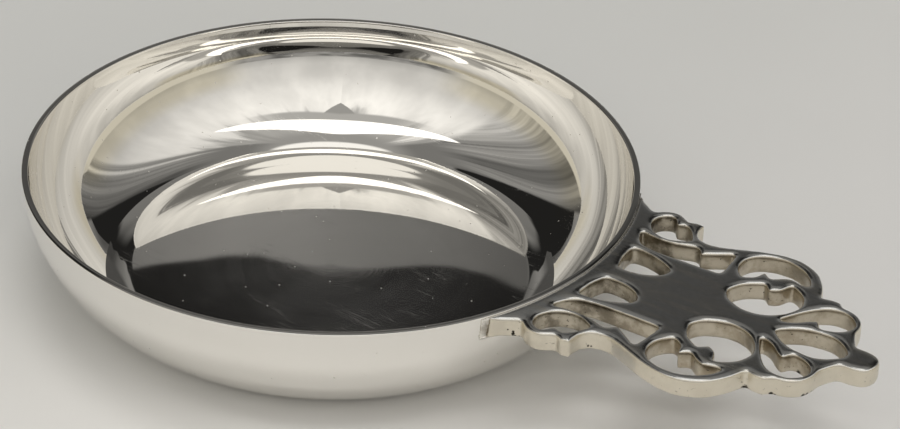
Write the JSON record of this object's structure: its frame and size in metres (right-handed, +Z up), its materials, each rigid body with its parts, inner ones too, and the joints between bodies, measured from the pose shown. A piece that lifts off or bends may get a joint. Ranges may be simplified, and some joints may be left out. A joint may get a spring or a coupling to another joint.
{
  "type": "pewter porringer",
  "caption": "Shallow round pewter bowl with a flat base and a pierced, scrolled tab handle soldered level with its rim.",
  "frame": {"origin": "on the bowl's axis, in the plane of the table that its flat base rests on", "axes": "+Z up along the bowl's axis, +X from the bowl's axis out along the middle of the handle, +Y to the left of the handle"},
  "size_m": [0.1963, 0.133, 0.0306],
  "materials": {
    "polished_pewter": "turned and polished to a mirror, with fine turning rings and a few light scratches",
    "cast_pewter": "satin top face with soft bright edges, cast sides with small pits and dull brown-grey recesses",
    "solder": "smooth satin, slightly darker than the metal beside it"
  },
  "bodies": {
    "root": {"bowl": "polished_pewter", "handle": "cast_pewter", "solder_seam": "solder"}
  },
  "joints": []
}
